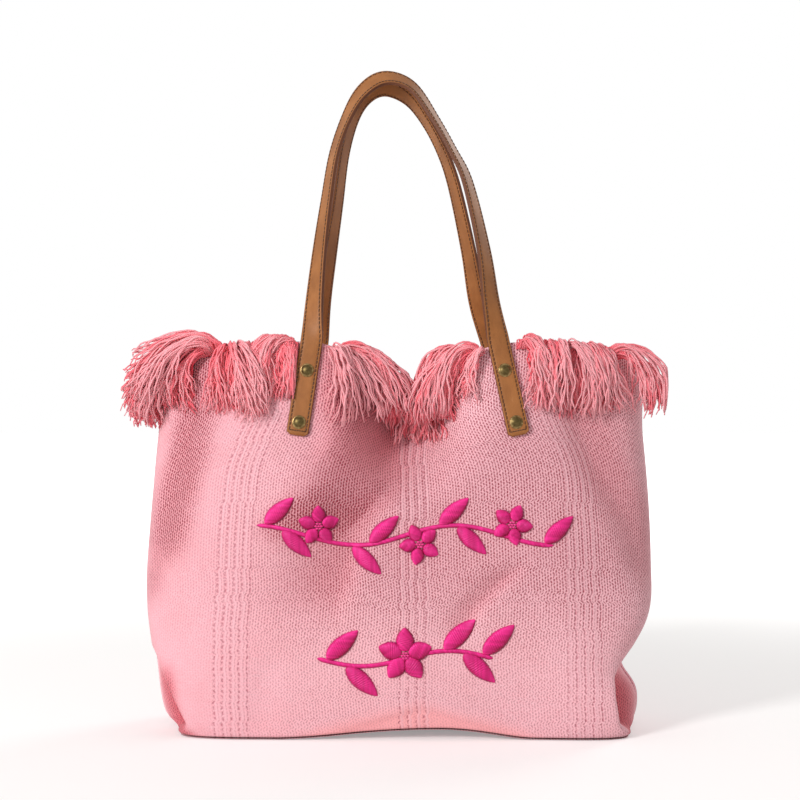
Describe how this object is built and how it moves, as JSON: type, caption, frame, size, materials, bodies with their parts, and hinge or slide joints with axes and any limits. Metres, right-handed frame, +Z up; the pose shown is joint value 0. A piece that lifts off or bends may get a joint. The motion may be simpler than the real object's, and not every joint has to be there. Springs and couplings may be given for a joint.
{
  "type": "beach tote bag",
  "caption": "Soft woven beach tote with a yarn-fringed rim, two riveted strap handles that swing, a snapped mouth and an inside zip pocket.",
  "frame": {"origin": "middle of the base on the ground, under the middle of the bag's outline", "axes": "+Z up, the embroidered front faces -Y, +X to the right as seen from the front"},
  "size_m": [0.514, 0.162, 0.6172],
  "materials": {
    "canvas": "dobby-striped woven cotton canvas",
    "fringe": "twisted loose yarn",
    "lining": "plain cotton",
    "embroidery": "satin stitch",
    "leather": "smooth tan with painted edges",
    "brass": "antique",
    "steel": "nickel plated",
    "zip_teeth": "moulded"
  },
  "bodies": {
    "bag": {"front_panel": "canvas", "back_panel": "canvas", "base_panel": "canvas", "front_lining": "lining", "back_lining": "lining", "base_lining": "lining", "left_side_seam": "canvas", "right_side_seam": "canvas", "front_fringe_left": "fringe", "front_fringe_middle": "fringe", "front_fringe_right": "fringe", "back_fringe_left": "fringe", "back_fringe_middle": "fringe", "back_fringe_right": "fringe", "upper_embroidery": "embroidery", "lower_embroidery": "embroidery", "front_left_strap_end_outer": "leather", "front_right_strap_end_outer": "leather", "back_left_strap_end_outer": "leather", "back_right_strap_end_outer": "leather", "front_left_strap_end_inner": "leather", "front_right_strap_end_inner": "leather", "back_left_strap_end_inner": "leather", "back_right_strap_end_inner": "leather", "front_left_rivet_caps": "brass", "front_right_rivet_caps": "brass", "back_left_rivet_caps": "brass", "back_right_rivet_caps": "brass", "front_left_rivet_posts": "brass", "front_right_rivet_posts": "brass", "back_left_rivet_posts": "brass", "back_right_rivet_posts": "brass", "snap_socket": "steel", "snap_stud": "steel", "front_snap_washer": "steel", "back_snap_washer": "steel", "pocket_patch": "lining", "zip_tape": "lining", "zip_teeth": "zip_teeth", "zip_stops": "steel"},
    "front_handle": {"front_handle_outer": "leather", "front_handle_inner": "leather"},
    "back_handle": {"back_handle_outer": "leather", "back_handle_inner": "leather"},
    "zip_slider": {"zip_slider": "steel"},
    "zip_pull": {"zip_pull": "steel"}
  },
  "joints": [
    {"name": "front_handle_swing", "type": "hinge", "parent": "bag", "child": "front_handle", "pos_m": [0, -0.0601, 0.362], "axis": [1, 0, 0], "range_deg": [0, 150]},
    {"name": "back_handle_swing", "type": "hinge", "parent": "bag", "child": "back_handle", "pos_m": [0, 0.0601, 0.362], "axis": [-1, 0, 0], "range_deg": [0, 150]},
    {"name": "zip_slide", "type": "slide", "parent": "bag", "child": "zip_slider", "axis": [1, 0, 0], "range_m": [0, 0.129]},
    {"name": "zip_pull_swing", "type": "hinge", "parent": "zip_slider", "child": "zip_pull", "pos_m": [-0.0645, 0.06398, 0.182], "axis": [0, 1, 0], "range_deg": [-80, 80]}
  ]
}
